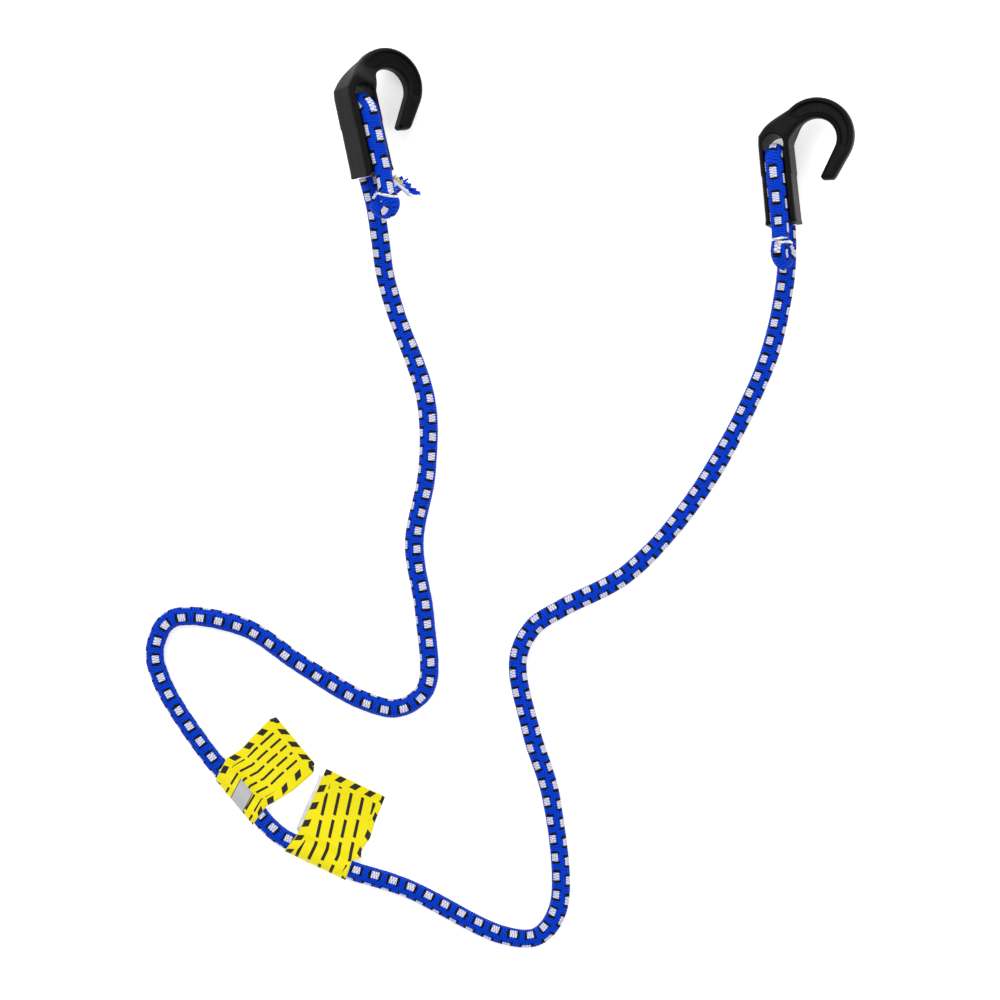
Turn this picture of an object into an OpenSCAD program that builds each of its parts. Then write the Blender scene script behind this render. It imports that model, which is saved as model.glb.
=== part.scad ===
// Adjustable elastic tie-down strap: one braided elastic cord with a moulded plastic hook at each end.
// It lies slack on a table at z = 0. Each tail of the cord runs up through its hook's shank, over a web,
// back down a groove in the shank's front, and is folded and clinched with a wire ring.

/* [Cord] */
// Outside diameter of the braided cord
cord_d = 8; // [7.6:0.1:8.2]
// Diameter of the rubber core inside the braid
core_d = 6; // [5:0.1:6.4]
// Diameter of the cord where the wire ring squeezes it
pinched_d = 6.8; // [6.4:0.1:6.9]

/* [Hook] */
// Radial room between the cord and the bore, the groove and the web
cord_gap = 0.3; // [0.2:0.05:0.5]
// Width of the shank
shank_w = 12.7; // [12:0.1:14]
// Length of the shank up to the centre of its cross hole
shank_len = 34.2; // [33.5:0.1:35]
// Distance from the bore's axis to the shank's back face
shank_back = 5.6; // [5.3:0.1:6.5]
// Distance from the bore's axis to the shank's front face
shank_front = 13.2; // [12.5:0.1:13.4]
// Radius of the shank's long edges
shank_edge = 3; // [1:0.1:3.5]
// Distance from the bore's axis to the axis of the groove that holds the tail
tail_z = 13.5; // [13.3:0.1:14]
// Height of the web that the cord bends over
web_top = 24.6; // [22:0.1:25]
// Radius of the cross hole that the cord turns round in
hole_r = 4.6; // [4.3:0.1:4.8]
// Radius inside the hook's curve
throat_r = 9; // [8.5:0.1:9.2]
// Radius outside the hook's curve
crown_r = 16.2; // [16:0.1:16.8]
// Thickness of the hook's curve, front to back
arc_t = 7.4; // [7:0.1:9]

/* [Wire rings] */
// Diameter of the ring's wire
wire_d = 1.6; // [1.2:0.1:1.8]

/* [Labels] */
// Thickness of a label's film
film_t = 0.25; // [0.2:0.05:0.3]
// Room between the cord and the film wrapped round it
film_gap = 0.2; // [0.15:0.05:0.3]
// Length of the first label along the cord
label_1_w = 26; // [20:0.5:26]
// Reach of the first label's flag from the cord's axis
label_1_reach = 32; // [25:0.5:32]
// Length of the second label along the cord
label_2_w = 26.5; // [20:0.5:26.5]
// Reach of the second label's flag from the cord's axis
label_2_reach = 35; // [28:0.5:35]

/* [Hidden] */
$fn = 48;

cord_r = cord_d / 2;
core_r = core_d / 2;
layer_gap = 0.05;
part_gap = 0.3;
sides = 10;
ring_step = 19;

// Where each hook lies: the centre of its bore's mouth, then its yaw, pitch and roll
left_at = [-97.2, -18.3, 17.15];
left_turn = [12.3, 2, 31.8];
right_at = [83.5, -38.8, 8.6];
right_turn = [5.4, -3, -16.2];

// Route of the cord's middle, from the left hook's mouth to the right hook's mouth
route = [
  [-97.2, -18.3, 17.15], [-94.2, -30, 15.4], [-92, -45, 11.6], [-90, -60, 7.2], [-85.5, -76, 4.4],
  [-72.5, -113.5, 4], [-72, -145, 4], [-77.5, -176, 4], [-73, -207, 4], [-72.5, -239, 4],
  [-84, -247.5, 4], [-99, -244.5, 4], [-126, -229, 4], [-152.5, -212, 4], [-183, -209, 4],
  [-190, -222, 4], [-186.5, -237, 4], [-167.5, -266.5, 4.45], [-160, -275.5, 4.45],
  [-142.5, -296.5, 4.45], [-141.25, -298, 4.45], [-134, -304, 4.45], [-131.9, -305, 4.45],
  [-106.7, -317, 4.45], [-104.6, -318, 4.45], [-81, -325.5, 4], [-39, -346, 4],
  [-24, -346.5, 4], [-15, -334, 4], [-18, -287, 4], [-27, -257, 4], [-32.5, -226.5, 4],
  [-26, -212.5, 4], [-13, -204, 4], [15, -189, 4], [46, -154, 4], [75, -98.5, 4.3],
  [82.5, -68, 5.3], [83.9, -52, 7.9], [83.5, -38.8, 8.6]
];
// Route points at which the left end, the stretching run and the rest of the cord meet
end_to_run = 1;
run_to_rest = 6;
// Route points between which each label's stretch of cord is straight
label_1_from = 18;
label_2_from = 22;

// Tails, in each hook's own frame: down the groove, round the fold and up again
left_tail = [
  [0, 24.3, 13.5], [0, 8, 13.5], [0, 0.5, 13.7], [-1.2, -5.2, 15.4], [-2.2, -10.2, 16.8],
  [-1, -14.2, 16.6], [-1.4, -16.5, 12.6], [-3, -14, 8], [-1.5, -11.3, 8.5],
  [1.1, -8.9, 10.6], [4.1, -6.7, 12], [7, -5, 14]
];
right_tail = [
  [0, 24.3, 13.5], [0, 8, 13.5], [0, 0.5, 13.7], [0, -8.2, 16.3], [-1, -13.2, 16.5],
  [-0.4, -16.6, 13], [1, -13.6, 9.4], [-0.7, -8.5, 9.4], [-1.6, -4.8, 8.4]
];
// Height along the tail below which it is squeezed to its pinched diameter
pinch_from = -1;

function unit(v) = v / norm(v);
function last(v) = v[len(v) - 1];
// Direction from one hook's mouth up its bore, for a hook's yaw and pitch
function bore_way(turn) = [
  -sin(turn[0]) * cos(turn[1]), cos(turn[0]) * cos(turn[1]), sin(turn[1])
];
// Smooth curve through the points (centripetal Catmull-Rom)
function knot(a, b) = sqrt(norm(b - a));
function lead(a, b, c, d1, d2) = (b - a) / d1 - (c - a) / (d1 + d2) + (c - b) / d2;
function spot(p, q, r, s, t) =
  let (d0 = knot(p, q), d1 = knot(q, r), d2 = knot(r, s))
  let (m0 = lead(p, q, r, d0, d1) * d1, m1 = lead(q, r, s, d1, d2) * d1)
  (2 * t ^ 3 - 3 * t ^ 2 + 1) * q + (t ^ 3 - 2 * t ^ 2 + t) * m0
    + (3 * t ^ 2 - 2 * t ^ 3) * r + (t ^ 3 - t ^ 2) * m1;
function padded(pts, before, after) = concat([pts[0] + before], pts, [last(pts) + after]);
// Points along the curve between two of its given points, about step apart
function curve(pts, from, to, step) = [
  for (i = [from : to - 1])
    let (n = max(1, ceil(norm(pts[i + 2] - pts[i + 1]) / step)))
    for (k = [0 : n - (i == to - 1 ? 0 : 1)])
      spot(pts[i], pts[i + 1], pts[i + 2], pts[i + 3], k / n)
];
route_padded = padded(route, 6 * bore_way(left_turn), 6 * bore_way(right_turn));
function cord_path(from, to) = curve(route_padded, from, to, ring_step);
function tail_path(pts) = curve(padded(pts, [0, 6, 0], last(pts) - pts[len(pts) - 2]), 0, len(pts) - 1, 6);

// Tangents, with the ends' own directions given
function ways(p, first, final) = [
  for (i = [0 : len(p) - 1])
    i == 0 ? unit(first) : i == len(p) - 1 ? unit(final) : unit(p[i + 1] - p[i - 1])
];
// Directions across the path, carried along it without twisting
function carry(s, w) = unit(s - (s * w) * w);
function across(w) = [
  for (i = 0, s = unit(cross(w[0], [0.3, 0.1, 1])); i < len(w); i = i + 1, s = carry(s, w[min(i, len(w) - 1)])) s
];
function ring_points(at, way, side, r) =
  [for (k = [0 : sides - 1]) at + r * (cos(360 * k / sides) * side + sin(360 * k / sides) * cross(side, way))];
function wall_faces(rings, base, flip) = [
  for (i = [0 : rings - 2], k = [0 : sides - 1])
    let (a = base + i * sides + k, b = base + i * sides + (k + 1) % sides, c = a + sides, d = b + sides)
    for (tri = flip ? [[a, b, d], [a, d, c]] : [[a, d, b], [a, c, d]]) tri
];
function cap_faces(base, flip) = [
  for (k = [1 : sides - 2]) flip ? [base, base + k + 1, base + k] : [base, base + k, base + k + 1]
];
function rim_faces(outer, inner, flip) = [
  for (k = [0 : sides - 1])
    let (a = outer + k, b = outer + (k + 1) % sides, c = inner + k, d = inner + (k + 1) % sides)
    for (tri = flip ? [[a, d, b], [a, c, d]] : [[a, b, d], [a, d, c]]) tri
];

// Solid cord along a path: radii gives its radius at each point
module cord_core_along(p, w, radii) {
  side = across(w);
  pts = [for (i = [0 : len(p) - 1]) each ring_points(p[i], w[i], side[i], radii[i])];
  end = (len(p) - 1) * sides;
  polyhedron(pts, concat(wall_faces(len(p), 0, false), cap_faces(0, false), cap_faces(end, true)));
}
// Tube along a path: radii_out and radii_in give its walls at each point
module cord_sheath_along(p, w, radii_out, radii_in) {
  side = across(w);
  outer = [for (i = [0 : len(p) - 1]) each ring_points(p[i], w[i], side[i], radii_out[i])];
  inner = [for (i = [0 : len(p) - 1]) each ring_points(p[i], w[i], side[i], radii_in[i])];
  base = len(outer);
  end = (len(p) - 1) * sides;
  polyhedron(
    concat(outer, inner),
    concat(
      wall_faces(len(p), 0, false), wall_faces(len(p), base, true),
      rim_faces(0, base, false), rim_faces(end, base + end, true)
    )
  );
}

function route_way(i) = unit(spot(route_padded[i], route_padded[i + 1], route_padded[i + 2],
  route_padded[i + 3], 0.02) - route_padded[i + 1]);
function all_same(p, r) = [for (q = p) r];
// One stretch of the free cord, with the directions in which it starts and ends
module free_sheath(from, to, first, final) {
  p = cord_path(from, to);
  cord_sheath_along(p, ways(p, first, final), all_same(p, cord_r), all_same(p, core_r + layer_gap));
}
module free_core(from, to, first, final) {
  p = cord_path(from, to);
  cord_core_along(p, ways(p, first, final), all_same(p, core_r));
}

module place(at, turn) {
  translate(at) rotate([0, 0, turn[0]]) rotate([turn[1], 0, 0]) rotate([0, turn[2], 0]) children();
}
module left() { place(left_at, left_turn) children(); }
module right() { place(right_at, right_turn) children(); }

// Hook moulding, in its own frame: bore's mouth at the origin, +Y up the shank, +Z out of its front.
// Outline of the hook's curve: centres of its inside and outside rounds, shoulder and tip
throat_y = 34.5;
throat_c = [17.1, 36.2];
crown_c = [17.1, 37.1];
shoulder_y = 38.6;
tip_out = [24, 18.8];
tip_low = [22.8, 17.8];
tip_toe = [18.8, 18.2];
tip_in = [17.9, 19.7];
arc_z = 2.7;

function heading(v) = atan2(v[1], v[0]);
// Angle on a circle at which the line from point p touches it; way picks the side
function touch(p, c, r, way) = heading(p - c) + way * acos(r / norm(p - c));
function on_circle(c, r, a) = c + r * [cos(a), sin(a)];
// The curve's plate stops this far inside the shank's faces
inset = 0.05;
plate_x = shank_w / 2 - inset;
shoulder = [-plate_x, shoulder_y];
throat_low = [plate_x, throat_y];
crown_start = on_circle(crown_c, crown_r, touch(shoulder, crown_c, crown_r, -1));
crown_end = on_circle(crown_c, crown_r, touch(tip_out, crown_c, crown_r, 1));
throat_start = on_circle(throat_c, throat_r, touch(throat_low, throat_c, throat_r, -1));
throat_end = on_circle(throat_c, throat_r, touch(tip_in, throat_c, throat_r, 1));

module hook_outline() {
  difference() {
    union() {
      translate(crown_c) circle(crown_r, $fn = 96);
      polygon([
        [-plate_x, 20], shoulder, crown_start, crown_c, throat_c, [plate_x, 20]
      ]);
      polygon([
        crown_c, crown_end, tip_out, tip_low, tip_toe, tip_in, throat_end
      ]);
    }
    translate(throat_c) circle(throat_r, $fn = 96);
    polygon([
      throat_low, throat_start, throat_c, throat_end, tip_in, tip_toe,
      [tip_toe[0], 8], [plate_x, 8]
    ]);
  }
}
// The curve's plate, and the slope from it up to the shank's full thickness
slope_turn = -30;
slope_x = 12.5;
module curve_depth() {
  translate([-20, 0, arc_z - arc_t / 2]) cube([80, 80, arc_t]);
  intersection() {
    rotate([0, 0, slope_turn]) translate([-30, 0, 0]) rotate([90, 0, 90]) linear_extrude(60) polygon([
      [20, -shank_back - 1], [35, -shank_back - 1], [45.2, arc_z - arc_t / 2 + 1],
      [45.2, arc_z + arc_t / 2 - 1], [35, shank_front - inset], [20, shank_front - inset]
    ]);
    translate([0, 21, 0]) rotate([90, 0, 0]) mirror([0, 0, 1]) linear_extrude(60)
      rounded_section(-plate_x, slope_x, inset);
  }
}
module hook_curve() {
  intersection() {
    translate([0, 0, -shank_back - 2]) linear_extrude(shank_front + shank_back + 4) hook_outline();
    curve_depth();
  }
}
module rounded_section(from, to, trim) {
  e = shank_edge;
  low = -shank_back + trim;
  high = shank_front - trim;
  translate([from + e, low]) square([to - from - 2 * e, high - low]);
  translate([from, low + e]) square([to - from, high - low - 2 * e]);
  for (x = [from + e, to - e], z = [low + e, high - e]) translate([x, z]) circle(e);
}
module shank() {
  intersection() {
    rotate([90, 0, 0]) mirror([0, 0, 1]) linear_extrude(shank_len + 10) rounded_section(-shank_w / 2, shank_w / 2, 0);
    translate([0, 0, -shank_back - 1]) linear_extrude(shank_front + shank_back + 2) {
      translate([-shank_w / 2, 0]) square([shank_w, shank_len]);
      translate([0, shank_len]) circle(shank_w / 2);
    }
  }
}
// Room for the cord: bore up the back, groove down the front, cross hole and the turn over the web
module along_shank(z, from, to, r) {
  translate([0, from, z]) rotate([-90, 0, 0]) cylinder(h = to - from, r = r);
}
module cord_room() {
  room = cord_r + cord_gap;
  slot_x = room + inset;
  along_shank(0, -1, shank_len, room);
  along_shank(tail_z, -1, web_top, room);
  translate([0, shank_len, -20]) cylinder(h = 60, r = hole_r);
  difference() {
    translate([-slot_x, web_top - 3, -0.5]) cube([2 * slot_x, shank_len - web_top + 3, 40]);
    translate([0, web_top, tail_z / 2]) web_nose();
  }
}
// The web's rounded top, and the solid web below it
module web_nose() {
  nose_r = tail_z / 2 - cord_r - cord_gap + inset;
  rotate([0, 90, 0]) cylinder(h = 40, r = nose_r, center = true);
  translate([-20, -10, -nose_r]) cube([40, 10, 2 * nose_r]);
}
module hook() {
  difference() {
    union() {
      shank();
      hook_curve();
    }
    cord_room();
  }
}

// Cord held inside a hook: straight in the bore, then a half turn over the web
module bore_run(r_out, r_in) {
  difference() {
    along_shank(0, part_gap, web_top, r_out);
    if (r_in > 0) along_shank(0, part_gap - 1, web_top + 1, r_in);
  }
}
module bend_run(r_out, r_in) {
  translate([0, web_top, tail_z / 2]) rotate([0, 90, 0]) rotate([0, 0, 0])
    rotate_extrude(angle = 180) translate([tail_z / 2, 0]) difference() {
      circle(r_out);
      if (r_in > 0) circle(r_in);
    }
}
function tail_radius(p, full, squeezed) = [
  for (q = p) let (t = min(1, max(0, (pinch_from + 5 - q[1]) / 5))) full + (squeezed - full) * t
];
squeeze = pinched_d / cord_d;
// How far the rubber stands out of the braid at the tail's cut end
core_stub = 2.5;
module tail_sheath(pts) {
  p = tail_path(pts);
  w = ways(p, [0, -1, 0], last(p) - p[len(p) - 2]);
  r_in = core_r + layer_gap;
  cord_sheath_along(p, w, tail_radius(p, cord_r, cord_r * squeeze), tail_radius(p, r_in, r_in * squeeze));
}
module tail_core(pts) {
  p = tail_path(pts);
  w = ways(p, [0, -1, 0], last(p) - p[len(p) - 2]);
  longer = concat(p, [last(p) + core_stub * last(w)]);
  cord_core_along(longer, concat(w, [last(w)]),
    concat(tail_radius(p, core_r, core_r * squeeze), [core_r * squeeze]));
}
// Wire ring clinched round both legs of the fold: a flattened loop lying across them
module clinch(legs_apart) {
  ring_r = pinched_d / 2 + wire_d / 2;
  for (end = [0, 1])
    translate([end * legs_apart, 0, 0]) rotate([0, 0, end * 180 + 90]) rotate_extrude(angle = 180)
      translate([ring_r, 0]) circle(wire_d / 2, $fn = 24);
  for (side = [-1, 1])
    translate([0, side * ring_r, 0]) rotate([0, 90, 0]) cylinder(h = legs_apart, r = wire_d / 2, $fn = 24);
}
// The ring, from one leg's middle to the other's
module ring_on(leg_1, leg_2) {
  u = unit(leg_2 - leg_1);
  w = carry([0, 1, 0], u);
  v = cross(w, u);
  multmatrix([
    [u[0], v[0], w[0], leg_1[0]],
    [u[1], v[1], w[1], leg_1[1]],
    [u[2], v[2], w[2], leg_1[2]]
  ]) clinch(norm(leg_2 - leg_1));
}

// Label: film wrapped round the cord and stuck to itself as a flag, lying down to the table
module label(from, to, width, reach) {
  v = to - from;
  r_in = cord_r + film_gap;
  r_out = r_in + film_t;
  tilt = asin((from[2] - film_t) / reach);
  translate(from + (norm(v) - width) / 2 * unit(v))
    rotate([0, 0, heading(v)]) rotate([-tilt, 0, 0]) {
      difference() {
        union() {
          rotate([0, 90, 0]) cylinder(h = width, r = r_out);
          translate([0, r_in, -film_t]) cube([width, reach - r_in, 2 * film_t]);
        }
        translate([-1, 0, 0]) rotate([0, 90, 0]) cylinder(h = width + 2, r = r_in);
      }
    }
}

module left_hook() { color("#1c1c1e") left() hook(); }
module right_hook() { color("#1c1c1e") right() hook(); }
module cord_sheath() {
  color("#1540d8") free_sheath(run_to_rest, len(route) - 1, route_way(run_to_rest), bore_way(right_turn));
}
module cord_core() {
  color("#d8c8a0") free_core(run_to_rest, len(route) - 1, route_way(run_to_rest), bore_way(right_turn));
}
module stretch_sheath() {
  color("#1540d8") free_sheath(end_to_run, run_to_rest, route_way(end_to_run), route_way(run_to_rest));
}
module stretch_core() {
  color("#d8c8a0") free_core(end_to_run, run_to_rest, route_way(end_to_run), route_way(run_to_rest));
}
module left_end_sheath() {
  color("#1540d8") free_sheath(0, end_to_run, -bore_way(left_turn), route_way(end_to_run));
}
module left_end_core() {
  color("#d8c8a0") free_core(0, end_to_run, -bore_way(left_turn), route_way(end_to_run));
}
module left_bore_sheath() { color("#1540d8") left() bore_run(cord_r, core_r + layer_gap); }
module left_bore_core() { color("#d8c8a0") left() bore_run(core_r, 0); }
module left_bend_sheath() { color("#1540d8") left() bend_run(cord_r, core_r + layer_gap); }
module left_bend_core() { color("#d8c8a0") left() bend_run(core_r, 0); }
module left_tail_sheath() { color("#1540d8") left() tail_sheath(left_tail); }
module left_tail_core() { color("#d8c8a0") left() tail_core(left_tail); }
module left_ring() { color("#c8c8cc") left() ring_on([-2.2, -10.4, 16.8], [1, -9, 10.5]); }
module right_bore_sheath() { color("#1540d8") right() bore_run(cord_r, core_r + layer_gap); }
module right_bore_core() { color("#d8c8a0") right() bore_run(core_r, 0); }
module right_bend_sheath() { color("#1540d8") right() bend_run(cord_r, core_r + layer_gap); }
module right_bend_core() { color("#d8c8a0") right() bend_run(core_r, 0); }
module right_tail_sheath() { color("#1540d8") right() tail_sheath(right_tail); }
module right_tail_core() { color("#d8c8a0") right() tail_core(right_tail); }
module right_ring() { color("#c8c8cc") right() ring_on([0, -8.3, 16.3], [-0.7, -8.4, 9.4]); }
module label_1() {
  color("#f2e21c") label(route[label_1_from], route[label_1_from + 1], label_1_w, label_1_reach);
}
module label_2() {
  color("#f2e21c") label(route[label_2_from], route[label_2_from + 1], label_2_w, label_2_reach);
}

left_hook();
right_hook();
cord_sheath();
cord_core();
stretch_sheath();
stretch_core();
left_end_sheath();
left_end_core();
left_bore_sheath();
left_bore_core();
left_bend_sheath();
left_bend_core();
left_tail_sheath();
left_tail_core();
left_ring();
right_bore_sheath();
right_bore_core();
right_bend_sheath();
right_bend_core();
right_tail_sheath();
right_tail_core();
right_ring();
label_1();
label_2();
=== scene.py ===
"""Looks of an adjustable elastic tie-down strap: braided cord, two moulded hooks, wire rings, film labels."""
import math
import random

import bpy
import numpy as np
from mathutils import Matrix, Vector


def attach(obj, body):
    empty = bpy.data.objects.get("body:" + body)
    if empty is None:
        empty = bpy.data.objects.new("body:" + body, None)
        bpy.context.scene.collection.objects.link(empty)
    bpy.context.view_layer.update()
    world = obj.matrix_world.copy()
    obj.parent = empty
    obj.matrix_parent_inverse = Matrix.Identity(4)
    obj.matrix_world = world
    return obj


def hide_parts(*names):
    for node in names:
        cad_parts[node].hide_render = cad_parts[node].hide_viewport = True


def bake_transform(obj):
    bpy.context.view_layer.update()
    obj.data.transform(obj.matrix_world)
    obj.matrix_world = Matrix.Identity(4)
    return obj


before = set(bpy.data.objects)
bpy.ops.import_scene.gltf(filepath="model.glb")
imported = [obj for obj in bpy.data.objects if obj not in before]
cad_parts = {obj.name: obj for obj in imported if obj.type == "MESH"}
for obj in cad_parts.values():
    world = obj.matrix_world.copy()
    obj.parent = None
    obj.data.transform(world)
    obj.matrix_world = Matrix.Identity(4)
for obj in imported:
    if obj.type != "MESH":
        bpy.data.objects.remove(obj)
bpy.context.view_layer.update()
rng = random.Random(7)
MM = 0.001

# ----------------------------------------------------------------------------------------------------
# Camera first, then the cord's route, repeated from the CAD source
# ----------------------------------------------------------------------------------------------------
CAMERA_H = 1.5
FIELD_W = 0.435
camera = bpy.data.objects.new("camera", bpy.data.cameras.new("camera"))
camera.location = (-0.0403, -0.1573, CAMERA_H)
camera.data.sensor_width = 36.0
camera.data.lens = camera.data.sensor_width * CAMERA_H / FIELD_W
camera.data.clip_start = 0.05
camera.data.clip_end = 20.0
bpy.context.scene.collection.objects.link(camera)
bpy.context.scene.camera = camera

LEFT_AT, LEFT_TURN = (-97.2, -18.3, 17.15), (12.3, 2.0, 31.8)
RIGHT_AT, RIGHT_TURN = (83.5, -38.8, 8.6), (5.4, -3.0, -16.2)

ROUTE = [
    (-97.2, -18.3, 17.15), (-94.2, -30, 15.4), (-92, -45, 11.6), (-90, -60, 7.2), (-85.5, -76, 4.4),
    (-72.5, -113.5, 4), (-72, -145, 4), (-77.5, -176, 4), (-73, -207, 4), (-72.5, -239, 4),
    (-84, -247.5, 4), (-99, -244.5, 4), (-126, -229, 4), (-152.5, -212, 4), (-183, -209, 4),
    (-190, -222, 4), (-186.5, -237, 4), (-167.5, -266.5, 4.45), (-160, -275.5, 4.45),
    (-142.5, -296.5, 4.45), (-141.25, -298, 4.45), (-134, -304, 4.45), (-131.9, -305, 4.45),
    (-106.7, -317, 4.45), (-104.6, -318, 4.45), (-81, -325.5, 4), (-39, -346, 4),
    (-24, -346.5, 4), (-15, -334, 4), (-18, -287, 4), (-27, -257, 4), (-32.5, -226.5, 4),
    (-26, -212.5, 4), (-13, -204, 4), (15, -189, 4), (46, -154, 4), (75, -98.5, 4.3),
    (82.5, -68, 5.3), (83.9, -52, 7.9), (83.5, -38.8, 8.6),
]
LABEL_1_FROM, LABEL_2_FROM = 18, 22
LEFT_TAIL = [
    (0, 24.3, 13.5), (0, 8, 13.5), (0, 0.5, 13.7), (-1.2, -5.2, 15.4), (-2.2, -10.2, 16.8),
    (-1, -14.2, 16.6), (-1.4, -16.5, 12.6), (-3, -14, 8), (-1.5, -11.3, 8.5),
    (1.1, -8.9, 10.6), (4.1, -6.7, 12), (7, -5, 14),
]
RIGHT_TAIL = [
    (0, 24.3, 13.5), (0, 8, 13.5), (0, 0.5, 13.7), (0, -8.2, 16.3), (-1, -13.2, 16.5),
    (-0.4, -16.6, 13), (1, -13.6, 9.4), (-0.7, -8.5, 9.4), (-1.6, -4.8, 8.4),
]
CORD_R = 4.0
WEB_TOP, TAIL_Z = 24.6, 13.5
TURN_R = TAIL_Z / 2


def turn_matrix(turn):
    """Yaw about Z, then pitch about X, then roll about Y, as in the CAD source."""
    y, p, r = (math.radians(a) for a in turn)
    rz = np.array([[math.cos(y), -math.sin(y), 0], [math.sin(y), math.cos(y), 0], [0, 0, 1]])
    rx = np.array([[1, 0, 0], [0, math.cos(p), -math.sin(p)], [0, math.sin(p), math.cos(p)]])
    ry = np.array([[math.cos(r), 0, math.sin(r)], [0, 1, 0], [-math.sin(r), 0, math.cos(r)]])
    return rz @ rx @ ry


LEFT = (np.array(LEFT_AT), turn_matrix(LEFT_TURN))
RIGHT = (np.array(RIGHT_AT), turn_matrix(RIGHT_TURN))


def to_row(side, points):
    """A hook's own points, in mm, to the row frame, in mm."""
    at, turn = side
    return np.asarray(points, float) @ turn.T + at


def smooth(t):
    """A soft step from 0 to 1 as t goes from 0 to 1."""
    t = np.clip(t, 0.0, 1.0)
    return t * t * (3 - 2 * t)


def unit(v):
    """Vectors of length 1, the same way as v."""
    v = np.asarray(v, float)
    return v / np.linalg.norm(v, axis=-1, keepdims=True)


def curve_through(points, before, after, step):
    """Points about step apart on the centripetal Catmull-Rom curve through points."""
    p = np.asarray(points, float)
    p = np.vstack([p[0] + before, p, p[-1] + after])
    fine = []
    for i in range(len(p) - 3):
        a, b, c, d = p[i:i + 4]
        d0, d1, d2 = (math.sqrt(np.linalg.norm(v)) for v in (b - a, c - b, d - c))
        m0 = ((b - a) / d0 - (c - a) / (d0 + d1) + (c - b) / d1) * d1
        m1 = ((c - b) / d1 - (d - b) / (d1 + d2) + (d - c) / d2) * d1
        t = np.linspace(0, 1, 60, endpoint=i == len(p) - 4)[:, None]
        fine.append((2 * t ** 3 - 3 * t ** 2 + 1) * b + (t ** 3 - 2 * t ** 2 + t) * m0
                    + (3 * t ** 2 - 2 * t ** 3) * c + (t ** 3 - t ** 2) * m1)
    return even(np.vstack(fine), step)


def even(points, step):
    """The same line with its points an even step apart."""
    p = np.asarray(points, float)
    s = np.concatenate([[0], np.cumsum(np.linalg.norm(np.diff(p, axis=0), axis=1))])
    n = max(2, int(round(s[-1] / step)) + 1)
    at = np.linspace(0, s[-1], n)
    return np.stack([np.interp(at, s, p[:, k]) for k in range(3)], axis=1)


def frames(p, first):
    """Tangents and untwisted cross directions along a line."""
    t = unit(np.gradient(p, axis=0))
    side = np.zeros_like(p)
    v = np.asarray(first, float)
    for i in range(len(p)):
        v = v - (v @ t[i]) * t[i]
        v = v / np.linalg.norm(v)
        side[i] = v
    return t, side, np.cross(t, side)


# ----------------------------------------------------------------------------------------------------
# Materials
# ----------------------------------------------------------------------------------------------------
def material(name, base, rough, metallic=0.0, coat=0.0, spec=0.5):
    """A Principled material, with its nodes, links and shader node."""
    m = bpy.data.materials.new(name)
    m.use_nodes = True
    m.diffuse_color = (*base, 1)
    b = m.node_tree.nodes["Principled BSDF"]
    b.inputs["Base Color"].default_value = (*base, 1)
    b.inputs["Roughness"].default_value = rough
    b.inputs["Metallic"].default_value = metallic
    b.inputs["Specular IOR Level"].default_value = spec
    b.inputs["Coat Weight"].default_value = coat
    b.inputs["Coat Roughness"].default_value = 0.12
    return m, m.node_tree.nodes, m.node_tree.links, b


def noise(nodes, links, scale, detail, vector=None, stretch=(1, 1, 1)):
    """A noise value on the object's coordinates, or on vector."""
    coords = nodes.new("ShaderNodeTexCoord")
    mapping = nodes.new("ShaderNodeMapping")
    mapping.inputs["Scale"].default_value = stretch
    links.new(vector or coords.outputs["Object"], mapping.inputs["Vector"])
    n = nodes.new("ShaderNodeTexNoise")
    n.inputs["Scale"].default_value = scale
    n.inputs["Detail"].default_value = detail
    links.new(mapping.outputs["Vector"], n.inputs["Vector"])
    return n.outputs["Fac"]


def ramp(nodes, links, fac, stops):
    """A colour ramp; stops are (position, colour) pairs."""
    r = nodes.new("ShaderNodeValToRGB")
    e = r.color_ramp.elements
    while len(e) < len(stops):
        e.new(0.5)
    for el, (pos, colour) in zip(e, stops):
        el.position = pos
        el.color = (*colour, 1)
    links.new(fac, r.inputs["Fac"])
    return r.outputs["Color"]


def bump(nodes, links, shader, height, distance, strength=1.0):
    """Small relief on a shader, distance in metres."""
    b = nodes.new("ShaderNodeBump")
    b.inputs["Distance"].default_value = distance
    b.inputs["Strength"].default_value = strength
    links.new(height, b.inputs["Height"])
    links.new(b.outputs["Normal"], shader.inputs["Normal"])


# Length of one yarn's rib along the cord
RIB = 1.1


def math_node(nodes, links, kind, a, b=None, c=None):
    """A math node; each of a, b and c is a number or a socket."""
    n = nodes.new("ShaderNodeMath")
    n.operation = kind
    for socket, value in zip(n.inputs, (a, b, c)):
        if value is None:
            continue
        if isinstance(value, (int, float)):
            socket.default_value = value
        else:
            links.new(value, socket)
    return n.outputs[0]


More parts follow.
